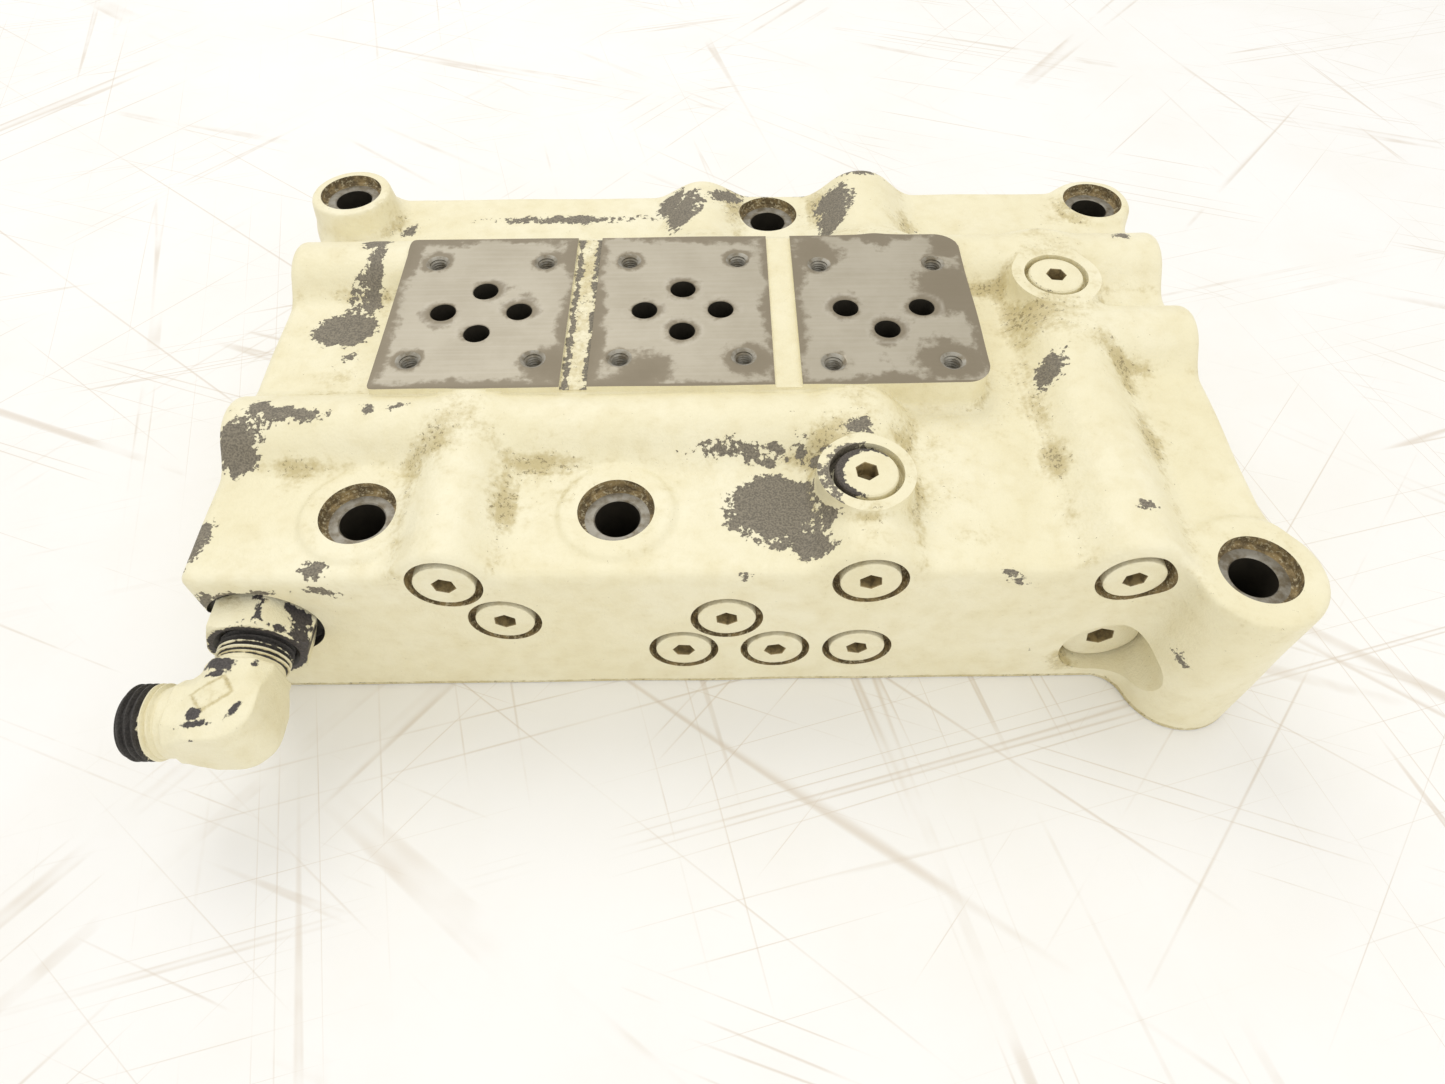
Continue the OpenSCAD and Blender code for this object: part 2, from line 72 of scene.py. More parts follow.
def join(a, b, r):
    """Joins two shapes, with a fillet of radius r in the corner between them."""
    corner = np.hypot(np.maximum(r - a, 0), np.maximum(r - b, 0))
    return np.maximum(r, np.minimum(a, b)) - corner


def trim(a, b, r):
    """Keeps what two shapes share, and rounds the edge between them to radius r."""
    edge = np.hypot(np.maximum(r + a, 0), np.maximum(r + b, 0))
    return np.minimum(-r, np.maximum(a, b)) + edge


def web(corner, centre, r, towards):
    """Fairing between the lug and a face: a wedge with a hollow round of radius r."""
    (px, py), (cx, cy) = corner, centre
    wx, wy = (cx - px) / math.dist(corner, centre), (cy - py) / math.dist(corner, centre)
    behind = towards * ((y - py) * wx - (x - px) * wy)
    return np.maximum(np.maximum(r - np.hypot(x - cx, y - cy), behind), towards * (x - px))


# Outline seen from above
outline = trim(abs(x - (LEFT + RIGHT) / 2) - (RIGHT - LEFT) / 2,
               abs(y - (FRONT + REAR) / 2) - (REAR - FRONT) / 2, 3.0)
front_web_r, side_web_r, lug_r = 8.0, 20.0, 15.5
front_web = (LUG[0] - math.sqrt((lug_r + front_web_r) ** 2 - (FRONT - front_web_r - LUG[1]) ** 2),
             FRONT - front_web_r)
side_web = (RIGHT + side_web_r,
            LUG[1] + math.sqrt((lug_r + side_web_r) ** 2 - (RIGHT + side_web_r - LUG[0]) ** 2))
fairing = np.maximum(web(LUG, front_web, front_web_r, 1), np.maximum(front_web[0] - x, y + 70))
outline = np.minimum(outline, np.hypot(x - LUG[0], y - LUG[1]) - lug_r)
outline = np.minimum(outline, fairing)
fairing = np.maximum(web(LUG, side_web, side_web_r, -1), y - side_web[1])
outline = np.minimum(outline, fairing)
outline = join(outline, np.hypot(x - 131.5, y - 62.5) - 12.3, 3.8)
outline = join(outline, np.hypot(x + 105, y - 59) - 14.0, 3.5)

# Upper side: deck and flange first, then everything that stands on them
upper = z - np.where(y < 28, DECK_Z, FLANGE_Z).astype(np.float32)
plain = upper + 0 * x
upper = plain


def stand(shape, r):
    """Adds a raised shape to the upper side, and keeps the sharp version for the creases."""
    global upper, plain
    plain = np.minimum(plain, shape)
    upper = join(upper, shape, r)


for bx, by in [SCREWS[0][:2], SCREWS[1][:2]]:
    stand(trim(np.hypot(x - bx, y - by) - 13.8, z - 51.9, 0.8), 1.6)
for centre_y, past in [(-37.0, np.maximum(x - 46.0, 0)), (28.0, 0 * x),
                       (-5.5, np.maximum(105.3 - x, 0))]:
    stand(np.sqrt((y - centre_y) ** 2 + (z - RIDGE_Z) ** 2 + past ** 2) - RIDGE_R, 4.0)
for centre_x, centre_z, r, past in [
    (-54.2, 48.0, 11.0, np.maximum(y + 37, 0)), (44.2, 47.6, 11.0, np.maximum(y + 37, 0)),
    (105.3, 47.2, 12.2, np.maximum(y - 28, 0)), (5.0, 43.7, 11.0, np.maximum(28 - y, 0)),
    (56.0, 44.5, 13.5, np.maximum(28 - y, 0)),
]:
    stand(np.sqrt((x - centre_x) ** 2 + (z - centre_z) ** 2 + past ** 2) - r, 5.5)
for (bx, by), r in zip(TOP_PLUGS, (11.8, 12.5)):
    stand(trim(np.hypot(x - bx, y - by) - r, z - 63, 0.5), 3.0)
for (ax, ay), (ox, oy), r, top in [(LUG, (9.0, -10.0), 15.5, 52.5),
                                   ((131.5, 62.5), (8.0, 8.0), 12.3, 50.2)]:
    along = np.clip(((x - ax) * ox + (y - ay) * oy) / (ox ** 2 + oy ** 2), 0, 1)
    stand(trim(np.hypot(x - ax - along * ox, y - ay - along * oy) - r, z - top, 1.2), 2.0)
rim = np.hypot(x + 105, y - 59) - 13.6 + 0.16 * np.maximum(z - FLANGE_Z, 0)
stand(trim(rim, z - 58.4, 1.0), 3.5)

# Raised row for the valves: as tall as needed here, because milling takes it down later
PAD_X, PAD_FRONT, PAD_REAR = 80.0, -31.0, 31.5
pad_corner = np.where(x > 0, 7.0, 1.5)
pad_x, pad_y = abs(x) - PAD_X, abs(y - (PAD_FRONT + PAD_REAR) / 2) - (PAD_REAR - PAD_FRONT) / 2
pad = trim(trim(pad_x, pad_y, pad_corner), z - 63, 0.5)
beside_ridge = np.clip((24 - abs(y)) / 6, 0, 1) + np.clip((x - 55) / 8, 0, 1) * (y < 0)
stand(pad, 0.8 + 2.2 * np.clip(beside_ridge, 0, 1))

crease = np.clip(plain - upper, 0, 1.4)
wave = (np.sin(x / 7.3 + 1) * np.sin(y / 8.9 + 2) + np.sin(y / 5.1 + z / 6.7) * np.sin(x / 11.3 + 4)
        + 0.5 * np.sin(z / 4.3 + x / 5.7) * np.sin(y / 4.7 + 3))
casting = trim(outline + 0 * z, upper, CAST_EDGE) + 0.09 * wave.astype(np.float32) + 0.15
band = 3 * CELL
casting = np.clip(casting, -band, band).astype(np.float32)
del plain, upper, wave, outline, pad, along, rim


def skin_of(field, corner, cell):
    """The surface where a distance field is zero, as points in millimetres and quads."""
    grid = openvdb.FloatGrid(float(3 * cell))
    grid.gridClass = openvdb.GridClass.LEVEL_SET
    grid.copyFromArray(field)
    points, quads = grid.convertToQuads(0.0)
    return np.asarray(points, float) * cell + corner, np.asarray(quads)[:, ::-1]


def make(name, points, faces, finish=None):
    """A mesh object from points in millimetres; finish is each face's material number."""
    mesh = bpy.data.meshes.new(name)
    mesh.from_pydata((np.asarray(points, float) / 1000).tolist(), [], [list(f) for f in faces])
    if finish is not None:
        mesh.polygons.foreach_set("material_index", np.asarray(finish, np.int32))
    mesh.validate()
    obj = bpy.data.objects.new(name, mesh)
    bpy.context.scene.collection.objects.link(obj)
    return obj


body = make("iron_casting", *skin_of(casting, low, CELL))

# ------------------------------------------------------------------ machining
# The base and the valve row are milled flat, two shallow grooves part the three stations,
# and the ports, tapped holes, counterbored screw holes and plug ports are drilled.
PAINT, MILLED, SEAT, BORE, GRIME = range(5)
STATIONS = [(-55.0, 0.0), (0.0, 0.0), (55.0, -2.5)]
VALVE_PORTS = [(sx + dx, dy) for sx in (-55, 0) for dx, dy in
               ((0, 7.55), (0, -9.95), (-10.4, -1.25), (10.4, -1.25))]
VALVE_PORTS += [(55, -10.05), (44.6, -1.25), (65.4, -1.25)]
TAPPED = []
for number, (sx, sy) in enumerate(STATIONS):
    far, near = (15.5, 16.25) if number < 2 else (16.25, 15.5)
    TAPPED += [(sx + side * far, sy + 20.25) for side in (-1, 1)]
    TAPPED += [(sx + side * near, sy - 20.25) for side in (-1, 1)]
FRONT_PLUGS = [(-54.2, 48.0), (-43.2, 32.3), (-0.2, 17.0), (10.9, 32.1),
               (23.3, 16.6), (44.4, 17.0), (44.2, 47.6), (105.3, 47.2)]
LOW_PLUG, LOW_SUNK = (108.9, 15.2), 3.7
ELBOW = (-101.4, 32.3)
SEAT_DEPTH = 3.0


def turned(profile, place, segments=72, ring=False):
    """Lathe work: (radius, height, finish) turned about an axis from its lowest middle point
    round the outside to the top. A radius may follow the angle, and ring closes a bore."""
    angles = np.arange(segments) * 2 * np.pi / segments
    points, rows = [], []
    for radius, height, _ in profile:
        r = radius(angles) if callable(radius) else radius
        if np.ndim(r) == 0 and r == 0:
            rows.append([len(points)] * segments)
            points.append((0, 0, height))
            continue
        rows.append(list(range(len(points), len(points) + segments)))
        spread = np.broadcast_to(r, angles.shape)
        points += zip(spread * np.cos(angles), spread * np.sin(angles), [height] * segments)
    steps = [(i, i + 1) for i in range(len(rows) - 1)] + ([(len(rows) - 1, 0)] if ring else [])
    faces, finish = [], []
    for i, j in steps:
        for k in range(segments):
            n = (k + 1) % segments
            face = list(dict.fromkeys([rows[i][k], rows[i][n], rows[j][n], rows[j][k]]))
            faces.append(face)
            finish.append(profile[j][2])
    flat = np.c_[np.array(points, float), np.ones(len(points))]
    return (flat @ np.array(place).T)[:, :3], faces, finish


def on_front(px, pz):
    """Local z runs out of the front face, local y runs up."""
    return Matrix.Translation((px, FRONT, pz)) @ Matrix.Rotation(math.radians(90), 4, "X")


def on_top(px, py, pz=PAD_Z):
    return Matrix.Translation((px, py, pz))


def together(parts):
    points, faces, finish, start = [], [], [], 0
    for part_points, part_faces, part_finish in parts:
        points.append(np.asarray(part_points, float))
        faces += [[start + i for i in face] for face in part_faces]
        finish += list(part_finish)
        start += len(part_points)
    return np.vstack(points), faces, finish


def block(corner, far, finish):
    points = [(a, b, c) for c in (corner[2], far[2]) for b in (corner[1], far[1])
              for a in (corner[0], far[0])]
    faces = [(0, 2, 3, 1), (4, 5, 7, 6), (0, 1, 5, 4), (1, 3, 7, 5), (3, 2, 6, 7), (2, 0, 4, 6)]
    return points, faces, [finish] * 6


def face_mill():
    """The face mill's path over the valve row, as a slab whose underside is finely divided."""
    fine = 0.9
    xs = np.r_[-140, np.arange(-82, 120, fine), 165]
    ys = np.r_[-120, np.arange(-74, 36, fine), 95]
    gx, gy = np.meshgrid(xs, ys, indexing="ij")
    under = np.c_[gx.ravel(), gy.ravel(), np.full(gx.size, PAD_Z)]
    number = np.arange(gx.size).reshape(gx.shape)
    quads = np.stack([number[:-1, :-1], number[:-1, 1:], number[1:, 1:], number[1:, :-1]], -1)
    edge = np.r_[number[:, 0], number[-1, 1:], number[-2::-1, -1], number[0, -2:0:-1]]
    lifted = under[edge] + [0, 0, 12]
    over = np.arange(len(edge)) + gx.size
    nxt = np.roll(np.arange(len(edge)), -1)
    walls = [[edge[i], edge[nxt[i]], over[nxt[i]], over[i]] for i in range(len(edge))]
    faces = quads.reshape(-1, 4).tolist() + walls + [over.tolist()]
    return np.vstack([under, lifted]), faces, [PAINT] * len(faces)


def valve_port():
    return [(0, -24, BORE), (3.5, -24, BORE), (3.5, -0.2, BORE), (3.72, 0.02, MILLED),
            (3.72, 3, MILLED), (0, 3, MILLED)]


# In the tapped thread the upward flanks take the grey seat finish and the downward flanks the
# near-black bore: painted light and shade.
def tapped_hole():
    rows = [(0, -13, BORE), (2.1, -13, BORE)]
    for turn in range(8):
        bottom = -6.9 + 0.8 * turn
        rows += [(2.1, bottom, BORE), (2.5, bottom + 0.35, SEAT), (2.5, bottom + 0.45, SEAT)]
    return rows + [(2.45, -0.55, SEAT), (3.4, 0.02, SEAT), (3.4, 3, SEAT), (0, 3, SEAT)]


def screw_hole(seat_z):
    return [(0, -2, BORE), (5.5, -2, BORE), (5.5, seat_z - 0.3, BORE), (5.8, seat_z, SEAT),
            (7.9, seat_z, SEAT), (8.9, seat_z, GRIME), (9.25, seat_z + 0.35, GRIME),
            (9.25, 70, GRIME), (0, 70, GRIME)]


def plug_port(seat_r, depth, throat_r, thread_r, out, wall=GRIME):
    return [(0, -depth - 12.5, BORE), (thread_r, -depth - 12.5, BORE),
            (thread_r, -depth - 2.1, BORE), (throat_r, -depth - 2.1, BORE),
            (throat_r, -depth, BORE), (seat_r - 0.4, -depth, wall),
            (seat_r, -depth + 0.4, wall), (seat_r, out, wall), (0, out, wall)]


def elbow_port():
    return [(0, -18.5, BORE), (8.38, -18.5, BORE), (8.38, -SEAT_DEPTH - 2.6, BORE),
            (9.5, -SEAT_DEPTH - 2.6, BORE), (9.5, -SEAT_DEPTH, BORE),
            (13.2, -SEAT_DEPTH, BORE), (13.4, -SEAT_DEPTH + 0.2, BORE), (13.4, 6, BORE),
            (0, 6, BORE)]


drills = [turned(valve_port(), on_top(*p), 40) for p in VALVE_PORTS]
drills += [turned(tapped_hole(), on_top(*p), 28) for p in TAPPED]
drills += [turned(screw_hole(p[2]), on_top(p[0], p[1], 0), 72) for p in SCREWS]
drills += [turned(plug_port(8.9, 3.4, 6.45, 5.61, 14), on_front(*p)) for p in FRONT_PLUGS]
drills += [turned(plug_port(8.9, 3.4, 6.45, 5.61, 8, PAINT), on_top(*p)) for p in TOP_PLUGS]
drills.append(turned(elbow_port(), on_front(*ELBOW), 96))
pocket = plug_port(11.4, LOW_SUNK + 4, 8.1, 7.19, 24, PAINT)
drills.append(turned(pocket, on_front(*LOW_PLUG), 96))
for groove_x in (-27.5, 27.5):
    drills.append(block((groove_x - 3.5, PAD_FRONT - 1, PAD_Z - 1),
                        (groove_x + 3.5, PAD_REAR + 1, PAD_Z + 3), PAINT))

for name, parts in (("mill", [face_mill(), block((-150, -130, -9), (170, 110, 0), PAINT)]),
                    ("drill", drills)):
    cutter = make(name, *together(parts))
    for owner in (body, cutter):
        while len(owner.data.materials) < 5:
            owner.data.materials.append(None)
    cut = body.modifiers.new(name, "BOOLEAN")
    cut.operation, cut.solver, cut.object = "DIFFERENCE", "MANIFOLD", cutter
    machined = bpy.data.meshes.new_from_object(
        body.evaluated_get(bpy.context.evaluated_depsgraph_get()))
    body.modifiers.clear()
    body.data = machined
    bpy.data.objects.remove(cutter)
machined.name = "iron_casting"

# ------------------------------------------------------------------ casting finish
# The casting is sprayed with cream enamel over bare iron, screws and all, and the valve row
# is left as milled. Handling has knocked chips out of the paint, oily dirt sits in patches, most in
# the corners, and the creases and the foot of the sides are darkened as painted shade. Worn
# patches are (across, back, half length, half width, degrees turned) in millimetres.
WORN_TOP = [
    (-96, 3, 9, 7, 15), (-90, 20, 14, 2.6, 85), (-91, 32, 4, 3.4, 60), (-92, -9, 2, 1.6, 0),
    (-110, -46, 6, 5, 100), (-99, -38, 9, 2, -5), (-106, -36, 4, 2.4, 20), (-114, -72, 7, 3, 80),
    (-84, -80, 3.4, 2.4, 0), (-88, 52, 3, 2, 60), (-78, -37, 1.7, 1.3, 0), (-71, -36, 1.7, 1.3, 30),
    (22, -63, 10, 10, 0), (30, -75, 6.5, 4, -35), (17, -47.5, 2.4, 2, 0), (24, -47.5, 2.2, 1.7, -30),
    (30, -47.5, 2.4, 1.4, 90), (21, -50, 2, 1, 0), (34, -51, 2.4, 2, 50), (44, -45, 3.6, 2.2, 0),
    (97, -22, 6.5, 3.2, 60), (130, 32, 2.4, 1.8, 40), (143, 2, 2.4, 1.6, 90), (108, -70, 2, 1.3, 0),
    (-1, 54, 9, 4, 75), (-5, 62, 6, 4, 60), (46, 50, 10, 4, 70), (46, 60, 6, 4, 40),
    (56, 69, 6, 2.4, -10), (24, 71, 13, 2, 0), (13, 64, 6, 3, 30), (-34, 57, 21, 2, 0)]
FLECKED_TOP = [(24, -65, 18, 14, -15), (12, -47, 24, 4.5, 0), (0, 57, 12, 9, 80), (48, 55, 12, 8, 75),
               (88, 41, 12, 5, -15), (-94, 10, 20, 7, 80), (-106, -42, 12, 7, 20)]
WORN_FRONT = [(-112, 42, 4, 2.4, 70), (-105, 44.5, 8, 1.2, 8), (-83, 46.6, 3.6, 1.8, -25),
              (15.4, 49, 0.9, 0.9, 0), (78, 48, 3, 0.9, -35), (120, 29, 1.6, 0.8, -50)]
DIRT = [(60, -60, 13), (62, -45, 12), (84, -33, 14), (85, -20, 10), (44, -76, 8), (33, -48, 12),
        (-95, -52, 10), (-60, -50, 12), (-34, -52, 14), (-40, -62, 12), (88, 15, 12),
        (120, 8, 10), (95, 0, 12), (117, -20, 12), (119, -45, 12), (92, -50, 8),
        (-90, 10, 16), (-92, -16, 12), (14, 62, 10), (40, 60, 12), (-90, 52, 10),
        (120, 55, 12), (26, -62, 12), (-92, 30, 10), (66, 48, 10), (70, -74, 8)]


def bare(points, patches, flat=(0, 1), broken=0.0):
    """Millimetres inside the edge of the nearest worn patch, negative outside."""
    depth = np.full(len(points), -3.0)
    for px, py, length, width, degrees in patches:
        dx, dy, lean = points[:, flat[0]] - px, points[:, flat[1]] - py, math.radians(degrees)
        out = np.hypot((dx * math.cos(lean) + dy * math.sin(lean)) / length,
                       (dy * math.cos(lean) - dx * math.sin(lean)) / width)
        depth = np.maximum(depth, 0.7 * width * (1 - out) - broken)
    return depth


def near(points, spots):
    """1 at the middle of a soft spot, falling to 0 at its edge."""
    amount = np.zeros(len(points))
    for px, py, r in spots:
        amount = np.maximum(amount, 1 - np.hypot(points[:, 0] - px, points[:, 1] - py) / r)
    return amount


def points_of(obj):
    co = np.empty(len(obj.data.vertices) * 3)
    obj.data.vertices.foreach_get("co", co)
    return co.reshape(-1, 3) * 1000


def normals_of(obj):
    n = np.empty(len(obj.data.vertices) * 3, np.float32)
    obj.data.vertex_normals.foreach_get("vector", n)
    return n.reshape(-1, 3)


def record(obj, **values):
    """Keeps a number for every point, which the finish reads by name."""
    for name, value in values.items():
        layer = obj.data.attributes.new(name, "FLOAT", "POINT")
        layer.data.foreach_set("value", np.asarray(value, np.float32))


def smooth(obj, degrees=32):
    obj.data.shade_smooth()
    obj.data.set_sharp_from_angle(angle=math.radians(degrees))


at, up = points_of(body), normals_of(body)
cell_of = [np.clip(np.rint((at[:, i] - low[i]) / CELL).astype(int), 0, count[i] - 1)
           for i in range(3)]
corner = crease[tuple(cell_of)]
worn = np.maximum(bare(at, WORN_TOP), np.minimum(bare(at, FLECKED_TOP, broken=2.2), 0.35))
chipped = np.where(up[:, 2] > 0.25, worn, -3.0)
chipped = np.maximum(chipped, np.where(up[:, 1] < -0.4, bare(at, WORN_FRONT, (0, 2)), -3.0))
around = [(px, py, 15.0) for px, py in TOP_PLUGS] + [(px, py, 16.0) for px, py, _ in SCREWS]
# Painted shade: 0.26 of the crease depth darkens every fillet and crease. The listed DIRT spots,
# heavier in the corners, and the rings round the bosses are oily dirt.
dirty = np.clip(0.26 * corner + 0.85 * near(at, DIRT) * np.clip(corner * 2 + 0.4, 0, 1)
                + 0.3 * near(at, around), 0, 1)
dirty *= np.clip(up[:, 2] + 0.35, 0, 1)
gap = np.hypot(at[:, 0] - TOP_PLUGS[0][0], at[:, 1] - TOP_PLUGS[0][1])
lean = np.cos(np.arctan2(at[:, 1] - TOP_PLUGS[0][1], at[:, 0] - TOP_PLUGS[0][0]) - 2.5)
chipped = np.maximum(chipped, np.clip(1.7 * lean - 0.4 - abs(gap - 8.6), -3, 2))
low_gap = np.hypot(at[:, 0] - LOW_PLUG[0] + 7, at[:, 2] - LOW_PLUG[1] + 5)
dirty = np.maximum(dirty, np.clip(1.3 - low_gap / 7, 0, 1) * (at[:, 1] > FRONT - 9))
in_groove = (abs(at[:, 0] + 27.5) < 3.6) & (abs(at[:, 1]) < 33) & (abs(at[:, 2] - 59) < 0.3)
scraped = np.clip(0.9 - abs(abs(at[:, 0] + 27.2) - 2.6) / 0.9, -3, 1)
chipped = np.maximum(chipped, np.where(in_groove, scraped, -3))
dirty = np.maximum(dirty, 0.6 * in_groove)
# Painted contact shadow: the sides are darkened within 1.5 mm of the base.
foot_shadow = (at[:, 2] < 1.5) & (up[:, 2] > -0.5)
dirty = np.maximum(dirty, 0.8 * foot_shadow)
to_edge = np.minimum(PAD_X - abs(at[:, 0]),
                     np.minimum(at[:, 1] - PAD_FRONT, PAD_REAR - at[:, 1]))
to_groove = abs(abs(at[:, 0]) - 27.5) - 3.5
stain = np.clip(1 - np.minimum(to_edge, to_groove) / 6, 0, 1) * 0.6
# Painted shade line: the row is darkened within 1.4 mm of its front edge.
stain = np.maximum(stain, np.clip(1.6 - (at[:, 1] - PAD_FRONT) / 0.9, 0, 1.6))
stain = np.maximum(stain, 0.9 * near(at, [(px, py, 6.5) for px, py in TAPPED]))
stain = np.maximum(stain, 0.85 * near(at, [(px, py, 8.0) for px, py in VALVE_PORTS]))
stain = np.maximum(stain, near(at, [(74, 8, 16), (70, -24, 14), (-34, -22, 12), (18, -22, 12),
                                    (38, 24, 12), (-10, -27, 14), (76, 26, 10)]))
ring = np.zeros(len(at))
for px, py in VALVE_PORTS:
    away = np.hypot(at[:, 0] - px, at[:, 1] - py)
    ring = np.maximum(ring, np.clip(1 - abs(away - 5.6) / 0.9, 0, 1))
stain[at[:, 2] < 1], ring[at[:, 2] < 1] = 0.2, 0.0
record(body, chip=chipped, dirt=dirty, stain=stain, seal_mark=ring)

middle = np.empty(len(body.data.polygons) * 3)
body.data.polygons.foreach_get("center", middle)
middle = middle.reshape(-1, 3) * 1000
facing = np.empty(len(body.data.polygons) * 3, np.float32)
body.data.polygons.foreach_get("normal", facing)
facing = facing.reshape(-1, 3)
finish = np.empty(len(body.data.polygons), np.int32)
body.data.polygons.foreach_get("material_index", finish)
on_row = (middle[:, 2] > PAD_Z - 0.02) & (facing[:, 2] > 0.99) & (abs(middle[:, 0]) < 83)
finish[on_row & (middle[:, 1] > PAD_FRONT - 0.6) & (middle[:, 1] < PAD_REAR + 1)] = MILLED
finish[(middle[:, 2] < 0.02) & (facing[:, 2] < -0.99)] = MILLED
body.data.polygons.foreach_set("material_index", finish)
smooth(body)


def finish_nodes(name):
    """A new finish with its tree, its shader and the object's own coordinates."""
    material = bpy.data.materials.new(name)
    material.use_nodes = True
    tree = material.node_tree
    here = tree.nodes.new("ShaderNodeTexCoord").outputs["Object"]
    return material, tree, tree.nodes["Principled BSDF"], here


def add(tree, kind, out=0, settings=None, **inputs):
    node = tree.nodes.new("ShaderNode" + kind)
    for key, value in (settings or {}).items():
        setattr(node, key, value)
    for key, value in inputs.items():
        socket = node.inputs[int(key[1:]) if key[0] == "i" and key[1:].isdigit() else key]
        if isinstance(value, bpy.types.NodeSocket):
            tree.links.new(value, socket)
        else:
            socket.default_value = value
    return node.outputs[out]


def noise(tree, here, size, detail=3, rough=0.55, stretch=None):
    """Cloudy pattern from 0 to 1 whose grain is size millimetres across."""
    if stretch:
        here = add(tree, "Mapping", Vector=here, Scale=stretch)
    return add(tree, "TexNoise", Vector=here, Scale=1000 / size, Detail=detail, Roughness=rough)


def calc(tree, operation, a, b=0.0, c=0.0):
    return add(tree, "Math", 0, {"operation": operation}, i0=a, i1=b, i2=c)


def step(tree, value, low, high, to=(0.0, 1.0)):
    return add(tree, "MapRange", 0, {"interpolation_type": "SMOOTHSTEP"},
               i0=value, i1=low, i2=high, i3=to[0], i4=to[1])


def paint(rgb):
    return (*rgb, 1.0)


def mix(tree, amount, a, b):
    return add(tree, "Mix", 2, {"data_type": "RGBA"}, i0=amount,
               i6=a if isinstance(a, bpy.types.NodeSocket) else paint(a),
               i7=b if isinstance(b, bpy.types.NodeSocket) else paint(b))


def attribute(tree, name):
    return add(tree, "Attribute", 2, {"attribute_name": name})


def enamel(name, under, grain, ragged=1.0, pits=0.7):
    """Cream enamel over metal: chips show the metal under it, and grime and painted shade darken the
    low places.
    """
    material, tree, shader, here = finish_nodes(name)
    cloud, mottle = noise(tree, here, 38, 3), noise(tree, here, 6, 4, 0.6)
    fine, dust = noise(tree, here, 1.5, 4, 0.65), noise(tree, here, 0.5, 2)
    cream = mix(tree, step(tree, cloud, 0.35, 0.7), (0.79, 0.73, 0.50), (0.83, 0.78, 0.575))
    cream = mix(tree, step(tree, mottle, 0.35, 0.75, (0.0, 0.45)), cream, (0.70, 0.62, 0.38))
    soil_and_shade = calc(tree, "MULTIPLY_ADD", calc(tree, "SUBTRACT", fine, 0.5), 0.9,
                calc(tree, "MULTIPLY_ADD", calc(tree, "SUBTRACT", mottle, 0.5), 1.1,
                     attribute(tree, "dirt")))
    dirt = step(tree, soil_and_shade, 0.18, 1.0, (0.0, 0.72))
    colour = mix(tree, dirt, cream, (0.47, 0.38, 0.16))
    specks = calc(tree, "MULTIPLY_ADD", attribute(tree, "dirt"), 0.16,
                  noise(tree, here, 1.3, 4, 0.78))
    speck = step(tree, specks, 0.68, 0.74, (0.0, pits))
    colour = mix(tree, speck, colour, (0.17, 0.13, 0.06))
    worn = calc(tree, "MULTIPLY_ADD", calc(tree, "SUBTRACT", fine, 0.5), 3.0 * ragged,
                attribute(tree, "chip"))
    worn = calc(tree, "MULTIPLY_ADD", calc(tree, "SUBTRACT", mottle, 0.5), 2.6 * ragged, worn)
    stray = step(tree, noise(tree, here, 4.2, 4, 0.7), 0.74, 0.755)
    chip = calc(tree, "MAXIMUM", step(tree, worn, 0.0, 0.22), stray)
    metal = mix(tree, step(tree, dust, 0.35, 0.65), under, [0.55 * c for c in under])
    colour = mix(tree, chip, colour, metal)
    tree.links.new(colour, shader.inputs["Base Color"])
    gloss = calc(tree, "MULTIPLY_ADD", mottle, 0.2, 0.34)
    tree.links.new(step(tree, chip, 0.0, 1.0, (gloss, 0.62)), shader.inputs["Roughness"])
    relief = calc(tree, "MULTIPLY_ADD", noise(tree, here, grain, 4, 0.65), 1.0,
                  calc(tree, "MULTIPLY", chip, -0.5))
    bump = add(tree, "Bump", Height=relief, Strength=0.75, Distance=0.00028)
    tree.links.new(bump, shader.inputs["Normal"])
    return material


IRON = (0.235, 0.205, 0.150)
painted = enamel("cast_iron_painted", IRON, 1.1, 1.25)

# Milled iron: fine feed marks along the row, brown oil stains, a painted shade line along the row's
# front edge, rubbed rings where seals sat
milled, tree, shader, here = finish_nodes("milled_iron")
cloud, fine = noise(tree, here, 16, 5, 0.6), noise(tree, here, 2.2, 4, 0.65)
feed = noise(tree, here, 1.0, 3, 0.6, (0.03, 1, 1))
grey = mix(tree, step(tree, cloud, 0.3, 0.7), (0.36, 0.32, 0.24), (0.42, 0.38, 0.295))
grey = mix(tree, step(tree, feed, 0.3, 0.75, (0.0, 0.35)), grey, (0.47, 0.43, 0.35))
soil_and_shade = calc(tree, "MULTIPLY_ADD", calc(tree, "SUBTRACT", cloud, 0.5), 1.5, attribute(tree, "stain"))
soil_and_shade = calc(tree, "MULTIPLY_ADD", calc(tree, "SUBTRACT", fine, 0.5), 0.5, soil_and_shade)
grey = mix(tree, step(tree, soil_and_shade, 0.26, 0.5, (0.0, 0.85)), grey, (0.19, 0.155, 0.10))
rubbed = calc(tree, "MULTIPLY", attribute(tree, "seal_mark"), step(tree, cloud, 0.4, 0.6, (0.0, 0.5)))
grey = mix(tree, rubbed, grey, (0.50, 0.46, 0.38))
tree.links.new(grey, shader.inputs["Base Color"])
shader.inputs["Metallic"].default_value = 0.35
tree.links.new(step(tree, soil_and_shade, 0.2, 0.9, (0.42, 0.6)), shader.inputs["Roughness"])
tree.links.new(add(tree, "Bump", Height=feed, Strength=0.35, Distance=0.00005),
               shader.inputs["Normal"])

